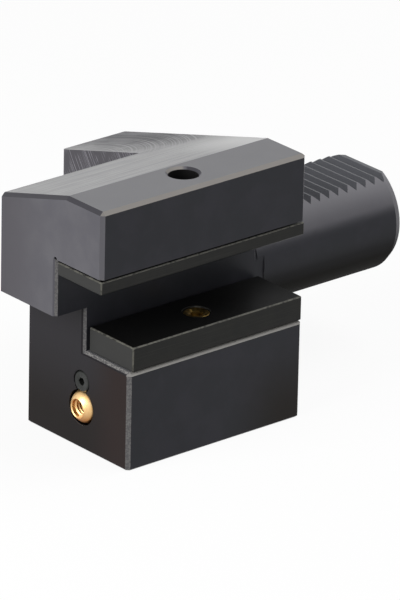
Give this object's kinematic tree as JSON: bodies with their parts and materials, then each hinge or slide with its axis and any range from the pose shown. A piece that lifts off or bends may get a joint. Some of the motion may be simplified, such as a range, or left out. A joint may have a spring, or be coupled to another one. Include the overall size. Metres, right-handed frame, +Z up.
{
  "type": "turret tool holder",
  "caption": "Steel turret tool holder with a toothed round shank, a side slot with seat and pressure plates for a square tool, clamp screws and a swivelling coolant nozzle.",
  "frame": {"origin": "where the shank's axis meets the flange's contact face", "axes": "+X along the shank towards its end, -Y the slotted side face, +Z up, away from the lower jaw that the holder stands on"},
  "size_m": [0.148, 0.09, 0.092],
  "materials": {
    "black_oxide_steel": "black oxide on ground and milled steel",
    "hardened_plate": "black oxide on ground hardened steel",
    "screw_steel": "black oxide",
    "yellow_zinc": "yellow passivated zinc",
    "spring_steel": "bright drawn wire",
    "brass": "turned",
    "seal_rubber": "matt"
  },
  "bodies": {
    "holder": {"body": "black_oxide_steel", "channel_plug": "screw_steel", "nozzle_seal_ring": "seal_rubber", "port_seal_ring": "seal_rubber", "return_spring": "spring_steel"},
    "seat": {"seat_plate": "hardened_plate", "seat_plate_screw": "screw_steel"},
    "clamp_plate": {"pressure_plate": "hardened_plate", "pull_screw": "yellow_zinc", "pull_washer": "screw_steel", "pull_nut": "yellow_zinc"},
    "front_clamp_screw": {"clamp_screw_front": "screw_steel"},
    "rear_clamp_screw": {"clamp_screw_rear": "screw_steel"},
    "nozzle": {"nozzle_ball": "brass"},
    "lock_screw": {"nozzle_lock_screw": "screw_steel"}
  },
  "joints": [
    {"name": "plate_clamp", "type": "slide", "parent": "holder", "child": "clamp_plate", "axis": [0, 0, 1], "range_m": [0, 0.004], "stiffness_N_per_m": 1500, "springref_m": -0.004, "deforming": ["return_spring"]},
    {"name": "front_screw_turn", "type": "hinge", "parent": "clamp_plate", "child": "front_clamp_screw", "pos_m": [-0.0578, -0.0313, -0.02], "axis": [0, 0, 1], "range_deg": [0, 824]},
    {"name": "rear_screw_turn", "type": "hinge", "parent": "clamp_plate", "child": "rear_clamp_screw", "pos_m": [-0.0138, -0.0313, -0.02], "axis": [0, 0, 1], "range_deg": [0, 824]},
    {"name": "seat_plate_lift", "type": "slide", "parent": "holder", "child": "seat", "axis": [0, 0, 1], "range_m": [0, 0.0007]},
    {"name": "nozzle_swivel", "type": "hinge", "parent": "holder", "child": "nozzle", "pos_m": [-0.0696, -0.0188, -0.0297], "axis": [0, 1, 0], "range_deg": [-20, 20]},
    {"name": "lock_screw_turn", "type": "hinge", "parent": "holder", "child": "lock_screw", "pos_m": [-0.068, -0.0188, -0.0207], "axis": [1, 0, 0], "range_deg": [-180, 0]}
  ],
  "couplings": [
    {"joint": "front_screw_turn", "follows": "plate_clamp", "rad_per_m": 3590.4},
    {"joint": "rear_screw_turn", "follows": "plate_clamp", "rad_per_m": 3590.4}
  ]
}
